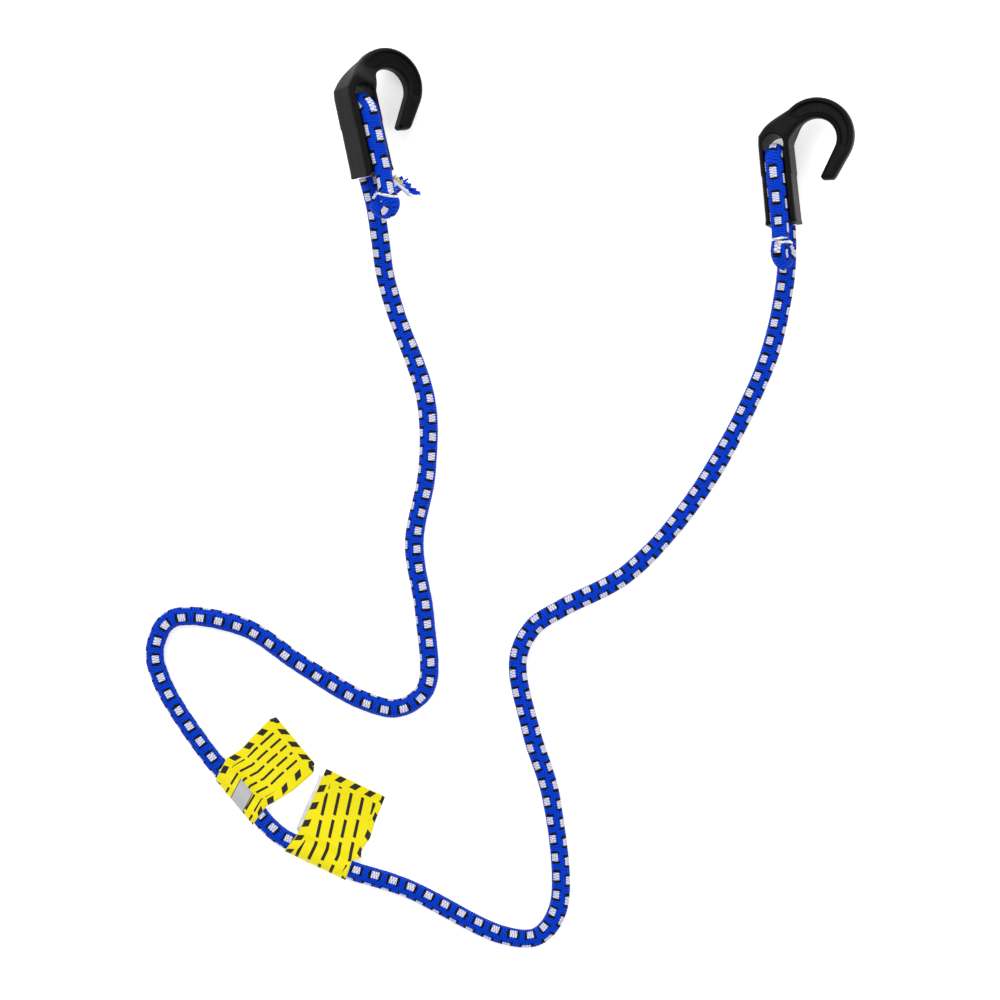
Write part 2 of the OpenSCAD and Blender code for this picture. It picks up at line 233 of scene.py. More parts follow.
def yarn(name, dark, light, rough):
    """Braided polyester yarn: fine filaments across the cord, slight colour change from yarn to yarn, and
    painted shade in the hollows between the yarn ribs.
    """
    m, nodes, links, shader = material(name, light, rough, spec=0.04)
    uv = nodes.new("ShaderNodeUVMap")
    uv.uv_map = "cord"
    patchy = noise(nodes, links, 2.2, 3.0, uv.outputs["UV"])
    colour = ramp(nodes, links, patchy, [(0.30, dark), (0.62, light)])
    split = nodes.new("ShaderNodeSeparateXYZ")
    links.new(uv.outputs["UV"], split.inputs["Vector"])
    # painted shade: the colour is darkened in bands across the cord, in step with the hollows of the ribbed
    # relief
    half = math_node(nodes, links, "FLOOR", math_node(nodes, links, "DIVIDE", split.outputs["X"], math.pi))
    turn = math_node(nodes, links, "MULTIPLY_ADD", split.outputs["Y"], 2 * math.pi / RIB,
                     math_node(nodes, links, "MULTIPLY", half, math.pi))
    wave = math_node(nodes, links, "COSINE", turn)
    lines = ramp(nodes, links, math_node(nodes, links, "MULTIPLY_ADD", wave, 0.5, 0.5),
                 [(0.05, (0.36, 0.36, 0.44)), (0.50, (1.0, 1.0, 1.0))])
    shade = nodes.new("ShaderNodeMix")
    shade.data_type = "RGBA"
    shade.blend_type = "MULTIPLY"
    shade.inputs["Factor"].default_value = 1.0
    links.new(colour, shade.inputs[6])
    links.new(lines, shade.inputs[7])
    links.new(shade.outputs[2], shader.inputs["Base Color"])
    filaments = noise(nodes, links, 6.0, 4.0, uv.outputs["UV"], (0.35, 4.0, 1.0))
    bump(nodes, links, shader, filaments, 0.00012, 0.8)
    rough_ramp = nodes.new("ShaderNodeMapRange")
    rough_ramp.inputs["To Min"].default_value = rough - 0.1
    rough_ramp.inputs["To Max"].default_value = rough + 0.12
    links.new(filaments, rough_ramp.inputs["Value"])
    links.new(rough_ramp.outputs["Result"], shader.inputs["Roughness"])
    return m


BLUE = yarn("braid_blue", (0.0001, 0.022, 0.34), (0.0004, 0.060, 0.72), 0.50)
WHITE = yarn("braid_white", (0.42, 0.43, 0.60), (0.80, 0.80, 0.88), 0.55)
BLACK = yarn("braid_black", (0.002, 0.002, 0.004), (0.010, 0.010, 0.016), 0.55)


def plastic():
    m, nodes, links, shader = material("hook_plastic", (0.003, 0.003, 0.0035), 0.40, spec=0.07)
    cloud = noise(nodes, links, 60.0, 3.0)
    links.new(ramp(nodes, links, cloud, [(0.3, (0.002, 0.002, 0.0024)), (0.75, (0.006, 0.006, 0.0064))]),
              shader.inputs["Base Color"])
    grain = noise(nodes, links, 2600.0, 2.0)
    scuffs = noise(nodes, links, 220.0, 4.0, None, (1.0, 0.25, 1.0))
    mix = nodes.new("ShaderNodeMapRange")
    mix.inputs["To Min"].default_value = 0.34
    mix.inputs["To Max"].default_value = 0.56
    links.new(scuffs, mix.inputs["Value"])
    links.new(mix.outputs["Result"], shader.inputs["Roughness"])
    bump(nodes, links, shader, grain, 0.00006, 0.5)
    return m


def rubber():
    m, nodes, links, shader = material("rubber_strands", (0.72, 0.60, 0.34), 0.6, spec=0.3)
    spots = noise(nodes, links, 900.0, 3.0)
    links.new(ramp(nodes, links, spots, [(0.3, (0.50, 0.38, 0.17)), (0.7, (0.80, 0.70, 0.44))]),
              shader.inputs["Base Color"])
    bump(nodes, links, shader, noise(nodes, links, 3000.0, 2.0), 0.00005, 0.6)
    return m


def wire():
    m, nodes, links, shader = material("ring_wire", (0.72, 0.72, 0.74), 0.28, metallic=1.0)
    cloud = noise(nodes, links, 700.0, 4.0)
    links.new(ramp(nodes, links, cloud, [(0.3, (0.50, 0.50, 0.52)), (0.7, (0.84, 0.84, 0.85))]),
              shader.inputs["Base Color"])
    mix = nodes.new("ShaderNodeMapRange")
    mix.inputs["To Min"].default_value = 0.2
    mix.inputs["To Max"].default_value = 0.42
    links.new(cloud, mix.inputs["Value"])
    links.new(mix.outputs["Result"], shader.inputs["Roughness"])
    bump(nodes, links, shader, noise(nodes, links, 2500.0, 2.0), 0.00004, 0.5)
    return m


PLASTIC, RUBBER, WIRE = plastic(), rubber(), wire()


# ----------------------------------------------------------------------------------------------------
# Mesh helpers
# ----------------------------------------------------------------------------------------------------
def mesh_object(name, verts_mm, faces, materials, face_material=None, uvs=None, uv_name="cord"):
    mesh = bpy.data.meshes.new(name)
    verts = np.asarray(verts_mm, float) * MM
    mesh.from_pydata([tuple(v) for v in verts], [], [tuple(int(i) for i in f) for f in faces])
    for m in materials:
        mesh.materials.append(m)
    if face_material is not None:
        mesh.polygons.foreach_set("material_index", np.asarray(face_material, np.int32))
    if uvs is not None:
        layer = mesh.uv_layers.new(name=uv_name)
        loops = np.zeros(len(mesh.loops), np.int32)
        mesh.loops.foreach_get("vertex_index", loops)
        layer.data.foreach_set("uv", np.asarray(uvs, float)[loops].astype(np.float32).ravel())
    mesh.polygons.foreach_set("use_smooth", [True] * len(mesh.polygons))
    mesh.validate()
    mesh.update()
    obj = bpy.data.objects.new(name, mesh)
    bpy.context.scene.collection.objects.link(obj)
    return obj


def grid_faces(rows, cols, wrap, base=0):
    """Quads between consecutive rows of cols points each."""
    out = []
    for i in range(rows - 1):
        for k in range(cols if wrap else cols - 1):
            a, b = base + i * cols + k, base + i * cols + (k + 1) % cols
            out.append((a, b, b + cols, a + cols))
    return out


def joined(parts):
    """(verts, faces, face materials) lists joined into one."""
    verts, faces, mats, base = [], [], [], 0
    for v, f, m in parts:
        verts.append(np.asarray(v, float))
        faces += [tuple(i + base for i in q) for q in f]
        mats += m
        base += len(v)
    return np.vstack(verts), faces, mats


def rod(points, radius, sides, slot, first=(0.3, 0.2, 1.0)):
    """A closed rod along a line; radius is one number or one for each point."""
    p = np.asarray(points, float)
    r = np.broadcast_to(np.asarray(radius, float), (len(p),))
    _, side, up = frames(p, first)
    a = np.linspace(0, 2 * math.pi, sides, endpoint=False)
    verts = (p[:, None] + r[:, None, None] * (np.cos(a)[None, :, None] * side[:, None]
                                              + np.sin(a)[None, :, None] * up[:, None])).reshape(-1, 3)
    faces = grid_faces(len(p), sides, True)
    faces += [tuple(reversed(range(sides))), tuple(range((len(p) - 1) * sides, len(p) * sides))]
    return verts, faces, [slot] * len(faces)


# ----------------------------------------------------------------------------------------------------
# Braided cord: ribbed yarns, and four rows of white flecks edged with black
# ----------------------------------------------------------------------------------------------------
SIDES = 32
YARN_RELIEF, LOBE_RELIEF = 0.10, 0.10
# Half widths of a fleck and of its black edge round the cord, in radians, and the edge's length along it
FLECK_REACH, EDGE_REACH, EDGE_BAND = 0.44, 0.50, 0.95


def braid(name, line, radius, period, start=0.0, twist=None, first=(0.0, 0.0, 1.0), fleck=0.40):
    """A tube of braid along a line in mm. radius is a number or one for each ring."""
    p = even(line, RIB / 3)
    n = len(p)
    s = np.linspace(0, np.linalg.norm(np.diff(p, axis=0), axis=1).sum(), n) + start
    r = np.broadcast_to(np.asarray(radius, float), (n,)) if np.ndim(radius) == 0 else np.interp(
        np.linspace(0, 1, n), np.linspace(0, 1, len(radius)), radius)
    _, side, up = frames(p, first)
    k = np.arange(SIDES)
    angle = 2 * math.pi * k / SIDES
    turn = twist(s) if twist is not None else np.zeros(n)
    column = k // 4
    weave = YARN_RELIEF * np.cos(2 * math.pi * s[:, None] / RIB + math.pi * column[None, :])
    groove = np.where(k % 4 == 0, -0.06, 0.02)
    lobes = LOBE_RELIEF * np.cos(4 * angle[None, :] + 0.9 * np.sin(s[:, None] / 9.0))
    slow = 0.06 * np.sin(s / 13.0)[:, None] + 0.04 * np.sin(s / 4.3 + 1.0)[:, None]
    rr = r[:, None] + weave + groove[None, :] + lobes + slow
    th = angle[None, :] + turn[:, None]
    outward = np.cos(th)[..., None] * side[:, None] + np.sin(th)[..., None] * up[:, None]
    verts = p[:, None] + rr[..., None] * outward
    uvs = np.stack([np.broadcast_to((angle * CORD_R)[None, :], (n, SIDES)),
                    np.broadcast_to(s[:, None], (n, SIDES))], -1)
    # which yarn each face shows
    sm = (s[:-1] + s[1:])[:, None] / 2
    km = (angle + math.pi / SIDES)[None, :]
    rib = np.floor(sm / RIB)
    row = np.round(km / (math.pi / 2))
    off = np.abs(km - row * (math.pi / 2))
    along = (sm / period + 0.25 * (row % 4) + 0.5) % 1.0 - 0.5
    half = fleck / 2
    zig = np.where(rib % 2 == 0, 0.03, -0.03)
    white = (np.abs(along) < half) & (off < FLECK_REACH + zig)
    band = EDGE_BAND / period
    bow = half + 0.030 * (1 - (off / EDGE_REACH) ** 2)
    black = ~white & (np.abs(along) >= half * 0.9) & (np.abs(along) < bow + band) & (off < EDGE_REACH)
    kind = np.where(white, 1, np.where(black, 2, 0)).astype(int)
    faces = grid_faces(n, SIDES, True)
    mats = kind.reshape(-1).tolist()
    faces += [tuple(reversed(range(SIDES))), tuple(range((n - 1) * SIDES, n * SIDES))]
    mats += [0, 0]
    slots = [BLUE, WHITE, BLACK, RUBBER]
    return mesh_object(name, verts.reshape(-1, 3), faces, slots, mats, uvs.reshape(-1, 2))


def bore_way(side):
    """The way up a hook's bore, in the row frame."""
    return side[1] @ np.array([0.0, 1.0, 0.0])


main_line = curve_through(ROUTE, 6 * bore_way(LEFT), 6 * bore_way(RIGHT), 0.4)
main_cord = braid("elastic_cord", main_line, CORD_R - 0.05, 8.2,
                  twist=lambda s: 0.65 + 0.5 * np.sin(s / 170.0) + 0.0009 * s)
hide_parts("cord_sheath", "cord_core", "stretch_sheath", "stretch_core",
            "left_end_sheath", "left_end_core")
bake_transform(main_cord)


# How far along the cord the flecks start in a bore, and how much a fold is squeezed
BORE_PHASE, SQUEEZE = 3.0, 0.35


def hook_cords(word, side, tail, period, radius, keep):
    """The cord inside one hook, its turn and its tail. keep is the share of the tail's route with braid."""
    bore = to_row(side, [(0, 0.35, 0), (0, 8, 0), (0, 16, 0), (0, WEB_TOP, 0)])
    piece = braid(f"{word}_bore_cord", even(bore, 1.0), CORD_R - 0.1, period, BORE_PHASE,
                  first=side[1] @ (0, 0, 1))
    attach(piece, f"{word}_hook")
    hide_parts(f"{word}_bore_sheath", f"{word}_bore_core")
    a = np.linspace(0, math.pi, 40)
    turn = np.stack([0 * a, WEB_TOP + TURN_R * np.sin(a), TURN_R - TURN_R * np.cos(a)], 1)
    down = curve_through(tail, np.array([0, 6.0, 0]), np.array(tail[-1]) - np.array(tail[-2]), 0.5)
    down = down[:int(len(down) * keep)]
    line = even(np.vstack([turn[:-1], down]), 0.4)
    r = radius - SQUEEZE * smooth((2.0 - line[:, 1]) / 6.0)
    tail_piece = braid(f"{word}_tail_cord", to_row(side, line), r, period, BORE_PHASE + WEB_TOP,
                       first=side[1] @ (1, 0, 0), fleck=0.38)
    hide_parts(f"{word}_bend_sheath", f"{word}_bend_core",
                f"{word}_tail_sheath", f"{word}_tail_core")
    return tail_piece, line


left_tail, left_line = hook_cords("left", LEFT, LEFT_TAIL, 12.2, 3.85, 0.97)
right_tail, right_line = hook_cords("right", RIGHT, RIGHT_TAIL, 10.9, 3.9, 1.0)


def blend_tail(piece):
    """Bakes the tail piece's placement into its mesh."""
    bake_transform(piece)


blend_tail(left_tail)
blend_tail(right_tail)


# ----------------------------------------------------------------------------------------------------
# Hooks: a rounded moulding found from its distance field
# ----------------------------------------------------------------------------------------------------
SHANK_W, SHANK_LEN, SHANK_BACK, SHANK_FRONT = 12.7, 34.2, 5.6, 13.2
HOLE_R, ROOM = 4.6, 4.3
THROAT_C, THROAT_R = np.array([17.5, 35.3]), 8.95
CROWN_C, CROWN_R = np.array([17.5, 36.7]), 16.6
SHOULDER = np.array([-6.3, 38.6])
TIP = np.array([(24.3, 17.8), (23.1, 16.8), (18.7, 17.2), (17.8, 18.7)])
ARC_Z, ARC_T = 2.7, 7.4
# How far the shoulder swells, and how deep the groove along the hook's curve is
BROW, CHANNEL = 1.1, 1.5


def touch(p, c, r, way):
    """The angle at which a line from p touches the circle; way picks the side."""
    v = p - c
    return math.atan2(v[1], v[0]) + way * math.acos(r / np.linalg.norm(v))


def arc(c, r, a0, a1, n):
    """n points on a circle, from angle a0 to a1."""
    a = np.linspace(a0, a1, n)
    return np.stack([c[0] + r * np.cos(a), c[1] + r * np.sin(a)], 1)


def curve_outline():
    """The hook's curve as one closed polygon: shoulder, outside, tip, inside, shank."""
    throat_low = np.array([6.3, 34.5])
    a0 = touch(SHOULDER, CROWN_C, CROWN_R, -1)
    a1 = touch(TIP[0], CROWN_C, CROWN_R, 1)
    b1 = touch(TIP[3], THROAT_C, THROAT_R, 1)
    b0 = touch(throat_low, THROAT_C, THROAT_R, -1)
    b0 += 2 * math.pi if b0 < 0 else 0
    outside = arc(CROWN_C, CROWN_R, a0, a1, 60)
    inside = arc(THROAT_C, THROAT_R, b1, b0, 48)
    t = np.linspace(0, 1, 14)[1:-1, None]
    chord = outside[0] - SHOULDER
    over = np.array([-chord[1], chord[0]]) / np.linalg.norm(chord)
    brow = SHOULDER + t * chord + 4 * t * (1 - t) * BROW * over
    return np.vstack([[(-6.3, 22.0)], [SHOULDER], brow, outside, TIP, inside, [throat_low], [(6.3, 22.0)]])


def polygon_distance(x, y, poly):
    """Signed distance from points to a closed polygon, negative inside."""
    best = np.full(x.shape, 1e9)
    inside = np.zeros(x.shape, bool)
    for a, b in zip(poly, np.roll(poly, -1, axis=0)):
        e = b - a
        wx, wy = x - a[0], y - a[1]
        t = np.clip((wx * e[0] + wy * e[1]) / (e @ e), 0, 1)
        best = np.minimum(best, (wx - t * e[0]) ** 2 + (wy - t * e[1]) ** 2)
        crosses = ((a[1] > y) != (b[1] > y))
        with np.errstate(divide="ignore", invalid="ignore"):
            cut = a[0] + (y - a[1]) * e[0] / (e[1] if e[1] else 1e-12)
        inside ^= crosses & (x < cut)
    d = np.sqrt(best)
    return np.where(inside, -d, d)


def smin(a, b, k):
    """Smaller of two distances, blended over a width of k."""
    h = np.clip(k - np.abs(a - b), 0, None)
    return np.minimum(a, b) - h * h / (4 * k)


def smax(a, b, k):
    """Larger of two distances, blended over a width of k."""
    return -smin(-a, -b, k)


def round_both(a, b, r):
    """Intersection of two distances with its edge rounded to r."""
    return np.minimum(np.maximum(a + r, b + r), 0) + np.hypot(np.maximum(a + r, 0), np.maximum(b + r, 0)) - r


def hook_field(h):
    """The hook's distance field on a grid of step h, and the grid's first corner."""
    x1, y1, z1 = np.arange(-8.6, 35.0, h), np.arange(-1.6, 55.2, h), np.arange(-7.4, 15.0, h)
    X, Y = np.meshgrid(x1, y1, indexing="ij")
    curve = polygon_distance(X, Y, curve_outline())
    half_w = SHANK_W / 2 + 0.35 * (1 - Y / SHANK_LEN) + 0.25 * smooth((2.6 - Y) / 2.2)
    rect = np.maximum(np.abs(X) - half_w, np.maximum(-Y, Y - SHANK_LEN))
    boss = np.hypot(X, Y - SHANK_LEN) - SHANK_W / 2
    flat = smin(np.minimum(rect, boss), curve, 1.6)
    run = 0.5 * X + 0.87 * Y
    thin = np.maximum(smooth((run - 34.0) / 12.0), smooth((X - 6.6) / 6.5))
    top = SHANK_FRONT + (ARC_Z + ARC_T / 2 - SHANK_FRONT) * thin
    low = -SHANK_BACK + (ARC_Z - ARC_T / 2 + SHANK_BACK) * thin
    channel = smooth((-curve - 1.7) / 0.9) * smooth((run - 43.0) / 4.0 + smooth((X - 17) / 3.0))
    tip_gap = np.hypot(X - 21.3, Y - 18.9)
    nub = smooth((2.6 - tip_gap) / 1.0)
    top = top - CHANNEL * channel * (1 - nub)
    z = z1[None, None, :]
    slab = np.maximum(z - top[..., None], low[..., None] - z) * 0.9
    edge = 2.2 + 0.5 * (1 - thin[..., None])
    back = 2.2 + 1.9 * (1 - thin[..., None])
    body = np.where(z < 1.0, round_both(flat[..., None], slab, back), round_both(flat[..., None], slab, edge))
    # room for the cord: bore, groove, cross hole, and the slot over the web's round nose
    x, y = X[..., None], Y[..., None]
    bore = np.where(y < SHANK_LEN, np.hypot(x, z) - ROOM, 9.0)
    groove = np.where(y < WEB_TOP, np.hypot(x, z - TAIL_Z) - ROOM, 9.0)
    hole = np.hypot(x, y - SHANK_LEN) - HOLE_R + 0 * z
    nose = np.where(y < WEB_TOP, np.abs(z - TAIL_Z / 2), np.hypot(y - WEB_TOP, z - TAIL_Z / 2)) - 2.5
    slot = np.maximum(np.maximum(np.abs(x) - ROOM, 21.6 - y), np.maximum(y - SHANK_LEN, -0.5 - z))
    slot = np.maximum(slot, -nose)
    room = np.minimum(np.minimum(bore, groove), np.minimum(hole, slot))
    return smax(body, -room, 0.9), (x1[0], y1[0], z1[0])


def surface_nets(field, origin, h):
    """Vertices and quads of the zero surface of a sampled field."""
    neg = field < 0
    shape = tuple(n - 1 for n in field.shape)
    total = np.zeros(shape + (3,))
    count = np.zeros(shape)
    ids = np.full(shape, -1)
    edges = []
    for axis in range(3):
        lo = [slice(None)] * 3
        hi = [slice(None)] * 3
        lo[axis], hi[axis] = slice(0, -1), slice(1, None)
        lo, hi = tuple(lo), tuple(hi)
        cross = neg[lo] != neg[hi]
        at = np.argwhere(cross)
        f0, f1 = field[lo][cross], field[hi][cross]
        pos = at.astype(float)
        pos[:, axis] += f0 / (f0 - f1)
        others = [k for k in range(3) if k != axis]
        keep = np.ones(len(at), bool)
        for k in others:
            keep &= (at[:, k] > 0) & (at[:, k] < field.shape[k] - 1)
        at, pos = at[keep], pos[keep]
        flip = f0[keep] > 0
        cells = []
        for du, dv in ((0, 0), (1, 0), (1, 1), (0, 1)):
            c = at.copy()
            c[:, others[0]] -= du
            c[:, others[1]] -= dv
            np.add.at(total, tuple(c.T), pos)
            np.add.at(count, tuple(c.T), 1)
            cells.append(c)
        edges.append((cells, flip, axis))
    used = count > 0
    ids[used] = np.arange(used.sum())
    verts = total[used] / count[used][:, None] * h + np.array(origin)
    quads = []
    for cells, flip, axis in edges:
        q = np.stack([ids[tuple(c.T)] for c in cells], 1)
        back = flip if axis != 1 else ~flip
        q[back] = q[back][:, ::-1]
        quads.append(q)
    return verts, np.vstack(quads)


VOXEL = 0.34
hook_values, hook_origin = hook_field(VOXEL)
hook_verts, hook_quads = surface_nets(hook_values, hook_origin, VOXEL)
for word, side in (("left", LEFT), ("right", RIGHT)):
    hook = mesh_object(f"{word}_moulded_hook", to_row(side, hook_verts), hook_quads, [PLASTIC])
    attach(hook, f"{word}_hook")
    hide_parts(f"{word}_hook")


# ----------------------------------------------------------------------------------------------------
# Wire rings clinched round the folds
# ----------------------------------------------------------------------------------------------------
WIRE_R = 0.62


def ring(word, side, leg_1, leg_2, radius, begin, turns, lean, skew):
    """Wire going round two legs of the fold, its ends overlapping a little."""
    leg_1, leg_2 = np.array(leg_1, float), np.array(leg_2, float)
    u = unit(leg_2 - leg_1)
    w = np.array([0.0, 1.0, 0.0])
    w = unit(w - (w @ u) * u)
    v = np.cross(w, u)
    v, w = v * math.cos(skew) + w * math.sin(skew), w * math.cos(skew) - v * math.sin(skew)
    apart = np.linalg.norm(leg_2 - leg_1)
    loop = [(0.0, -radius), (apart, -radius)]
    far_end = np.linspace(-math.pi / 2, math.pi / 2, 14)
    loop += [(apart + radius * math.cos(a), radius * math.sin(a)) for a in far_end]
    loop += [(apart * 0.5, radius * 0.94), (0.0, radius)]
    near_end = np.linspace(math.pi / 2, 1.5 * math.pi, 14)
    loop += [(radius * math.cos(a), radius * math.sin(a)) for a in near_end]
    loop = np.array(loop)
    closed = even(np.column_stack([loop, 0 * loop[:, 0]]), 0.25)[:, :2]
    n = len(closed)
    count = int(n * turns)
    index = (np.arange(count) + int(begin * n)) % n
    t = np.linspace(-1, 1, count)
    local = closed[index]
    line = leg_1 + local[:, :1] * u + local[:, 1:] * v + (lean * t)[:, None] * w
    line = even(line, 0.35)
    for _ in range(3):
        line[1:-1] = (line[:-2] + 2 * line[1:-1] + line[2:]) / 4
    m = len(line)
    taper = WIRE_R * np.clip(np.minimum(np.arange(m), np.arange(m)[::-1]) / 6.0, 0.45, 1.0)
    verts, faces, mats = rod(to_row(side, line), taper, 12, 0)
    piece = mesh_object(f"{word}_wire_ring", verts, faces, [WIRE], mats)
    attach(piece, f"{word}_tail")
    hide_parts(f"{word}_ring")
    return piece


left_ring = ring("left", LEFT, (-2.2, -10.4, 16.8), (1.0, -9.0, 10.5), 4.0, 0.08, 1.10, 0.5, 0.42)
right_ring = ring("right", RIGHT, (0.0, -8.3, 16.3), (-0.7, -8.4, 9.4), 4.0, 0.78, 1.16, 1.0, 0.0)


# ----------------------------------------------------------------------------------------------------
# Cut ends: rubber strands, splayed yarns
# ----------------------------------------------------------------------------------------------------
STRAND_R, YARN_R = 0.43, 0.40


def cut_end(word, side, line, reach, yarns):
    """Rubber strands standing out of the braid, and bundles of splayed yarn."""
    end = line[-1]
    way = unit(line[-1] - line[-6])
    a = unit(np.cross(way, (0.1, 0.2, 1.0)))
    b = np.cross(way, a)
    parts = []
    rings = ((0, 1, 0.0), (0.95, 6, 0.0), (1.9, 11, 0.3), (2.65, 16, 0.1))
    for radius, n, shift in rings:
        for i in range(n):
            t = 2 * math.pi * i / n + shift + rng.uniform(-0.08, 0.08)
            base = end + radius * (math.cos(t) * a + math.sin(t) * b)
            out = reach * rng.uniform(0.55, 1.25) * (1.1 - 0.1 * radius)
            lean = 0.10 * radius * (math.cos(t) * a + math.sin(t) * b)
            p = [base - 4.0 * way, base - 0.5 * way, base + out * 0.6 * way + lean * 0.4,
                 base + out * way + lean]
            parts.append(rod(even(p, 0.6), STRAND_R, 6, 0))
    slots = {"rubber": 0, "blue": 1, "white": 2, "black": 3}
    for colour, centre, spread, go, count in yarns:
        for i in range(count):
            f = (i + 0.5) / count - 0.5
            root = end + 3.4 * (math.cos(centre + f * spread) * a + math.sin(centre + f * spread) * b)
            long = 1 + rng.uniform(-0.28, 0.12)
            bend = np.array(go, float) * long
            drift = np.array([rng.uniform(-0.5, 0.5) for _ in range(3)])
            p = [root - 2.2 * way, root, root + 0.35 * bend + 0.15 * drift, root + bend * 0.75 + 0.4 * drift,
                 root + bend + drift]
            parts.append(rod(curve_through(p, -way, bend * 0.1, 0.5), YARN_R, 5, slots[colour]))
    verts, faces, mats = joined(parts)
    piece = mesh_object(f"{word}_cut_end", to_row(side, verts), faces, [RUBBER, BLUE, WHITE, BLACK], mats)
    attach(piece, f"{word}_tail")
    return piece


left_end = cut_end("left", LEFT, left_line, 2.4, [
    ("blue", 1.2, 1.9, (4.2, 0.6, 1.8), 20),
    ("white", -1.5, 1.5, (4.0, -4.6, 0.8), 22),
    ("black", -0.3, 1.0, (6.2, -1.6, 1.2), 12),
    ("blue", -0.6, 1.5, (8.2, -3.4, 0.2), 26),
])
right_end = cut_end("right", RIGHT, right_line, 0.9, [
    ("blue", 0.4, 1.6, (1.2, 1.6, 0.6), 9),
    ("white", 2.2, 0.9, (0.5, 1.4, 0.4), 5),
])


# ----------------------------------------------------------------------------------------------------
# Film labels
# ----------------------------------------------------------------------------------------------------
def film(name, width, length, grey_from, grey_to, line_pitch, slant, glyph):
    """Yellow laminate with slanted black blocks along its edges and plain dark bars for lines of print."""
    m, nodes, links, shader = material(name, (0.80, 0.70, 0.003), 0.34, coat=0.14, spec=0.14)
    uv = nodes.new("ShaderNodeUVMap")
    uv.uv_map = "film"
    split = nodes.new("ShaderNodeSeparateXYZ")
    links.new(uv.outputs["UV"], split.inputs["Vector"])
    u, v = split.outputs["X"], split.outputs["Y"]

    def f(kind, a, b=None, c=None):
        return math_node(nodes, links, kind, a, b, c)

    def between(x, lo, hi):
        return f("MULTIPLY", f("GREATER_THAN", x, lo), f("LESS_THAN", x, hi))

    def blocks(along, across, pitch, share, tilt):
        t = f("FRACT", f("DIVIDE", f("ADD", along, f("MULTIPLY", across, tilt)), pitch))
        return f("LESS_THAN", t, share)

    # edges: two along the strip (u near 0 and width), two free ends (v near 0 and length)
    side_a = f("MULTIPLY", between(u, 0.3, 3.0), blocks(v, u, 8.2, 0.42, 0.6))
    side_b = f("MULTIPLY", between(u, width - 3.0, width - 0.3), blocks(v, u, 8.2, 0.42, -0.6))
    end_a = f("MULTIPLY", between(v, 0.3, 3.2), blocks(u, v, 7.1, 0.44, 0.6))
    end_b = f("MULTIPLY", between(v, length - 3.2, length - 0.3), blocks(u, v, 7.1, 0.44, -0.6))
    edge = f("MAXIMUM", f("MAXIMUM", side_a, side_b), f("MAXIMUM", end_a, end_b))
    # rows of plain bars where the print is
    q = f("ADD", u, f("MULTIPLY", v, slant))
    row = f("FLOOR", f("DIVIDE", q, line_pitch))
    place = f("FRACT", f("DIVIDE", q, line_pitch))
    run = f("ADD", v, f("MULTIPLY", row, 2.37))
    step = f("DIVIDE", run, glyph)
    count = f("FLOOR", step)
    word = f("ADD", f("SINE", f("MULTIPLY", count, 1.13)), f("SINE", f("MULTIPLY", count, 2.9)))
    glyphs = f("MULTIPLY", between(place, 0.33, 0.60), f("GREATER_THAN", word, -0.85))
    bars = f("MULTIPLY", glyphs, f("MULTIPLY", between(u, 4.2, width - 4.0), between(v, 4.6, length - 4.6)))
    dark = f("MAXIMUM", edge, bars)
    # the grey band round the cord, with a thin dark rim
    wrapped = (length * 0.36, length * 0.62)
    rim_w = 0.35
    grey = f("MULTIPLY", between(u, grey_from, grey_to), between(v, *wrapped))
    rims = f("MAXIMUM", between(u, grey_from - rim_w, grey_from), between(u, grey_to, grey_to + rim_w))
    rim = f("MULTIPLY", rims, between(v, *wrapped))
    dark = f("MAXIMUM", f("MULTIPLY", dark, f("SUBTRACT", 1.0, grey)), rim)

    worn = noise(nodes, links, 3.5, 5.0, uv.outputs["UV"])
    yellow = ramp(nodes, links, worn, [(0.30, (0.66, 0.55, 0.001)), (0.66, (0.82, 0.74, 0.002))])
    ink = ramp(nodes, links, worn, [(0.35, (0.008, 0.008, 0.006)), (0.72, (0.030, 0.028, 0.025))])

    def mix(fac, a, b):
        n = nodes.new("ShaderNodeMix")
        n.data_type = "RGBA"
        links.new(fac, n.inputs["Factor"])
        for socket, value in ((n.inputs[6], a), (n.inputs[7], b)):
            if isinstance(value, tuple):
                socket.default_value = (*value, 1)
            else:
                links.new(value, socket)
        return n.outputs[2]

    colour = mix(dark, mix(grey, yellow, (0.42, 0.42, 0.44)), ink)
    links.new(colour, shader.inputs["Base Color"])
    bump(nodes, links, shader, noise(nodes, links, 0.35, 3.0, uv.outputs["UV"]), 0.0006, 0.35)
    return m


def backing():
    m, nodes, links, shader = material("film_backing", (0.86, 0.86, 0.87), 0.35, spec=0.4)
    cloud = noise(nodes, links, 160.0, 4.0)
    links.new(ramp(nodes, links, cloud, [(0.3, (0.50, 0.50, 0.52)), (0.7, (0.72, 0.72, 0.73))]),
              shader.inputs["Base Color"])
    bump(nodes, links, shader, noise(nodes, links, 420.0, 3.0), 0.0001, 0.5)
    return m


BACKING = backing()
FILM_T = 0.16
TOP_LAYER, WRAP, LOW_LAYER = 0, 1, 2


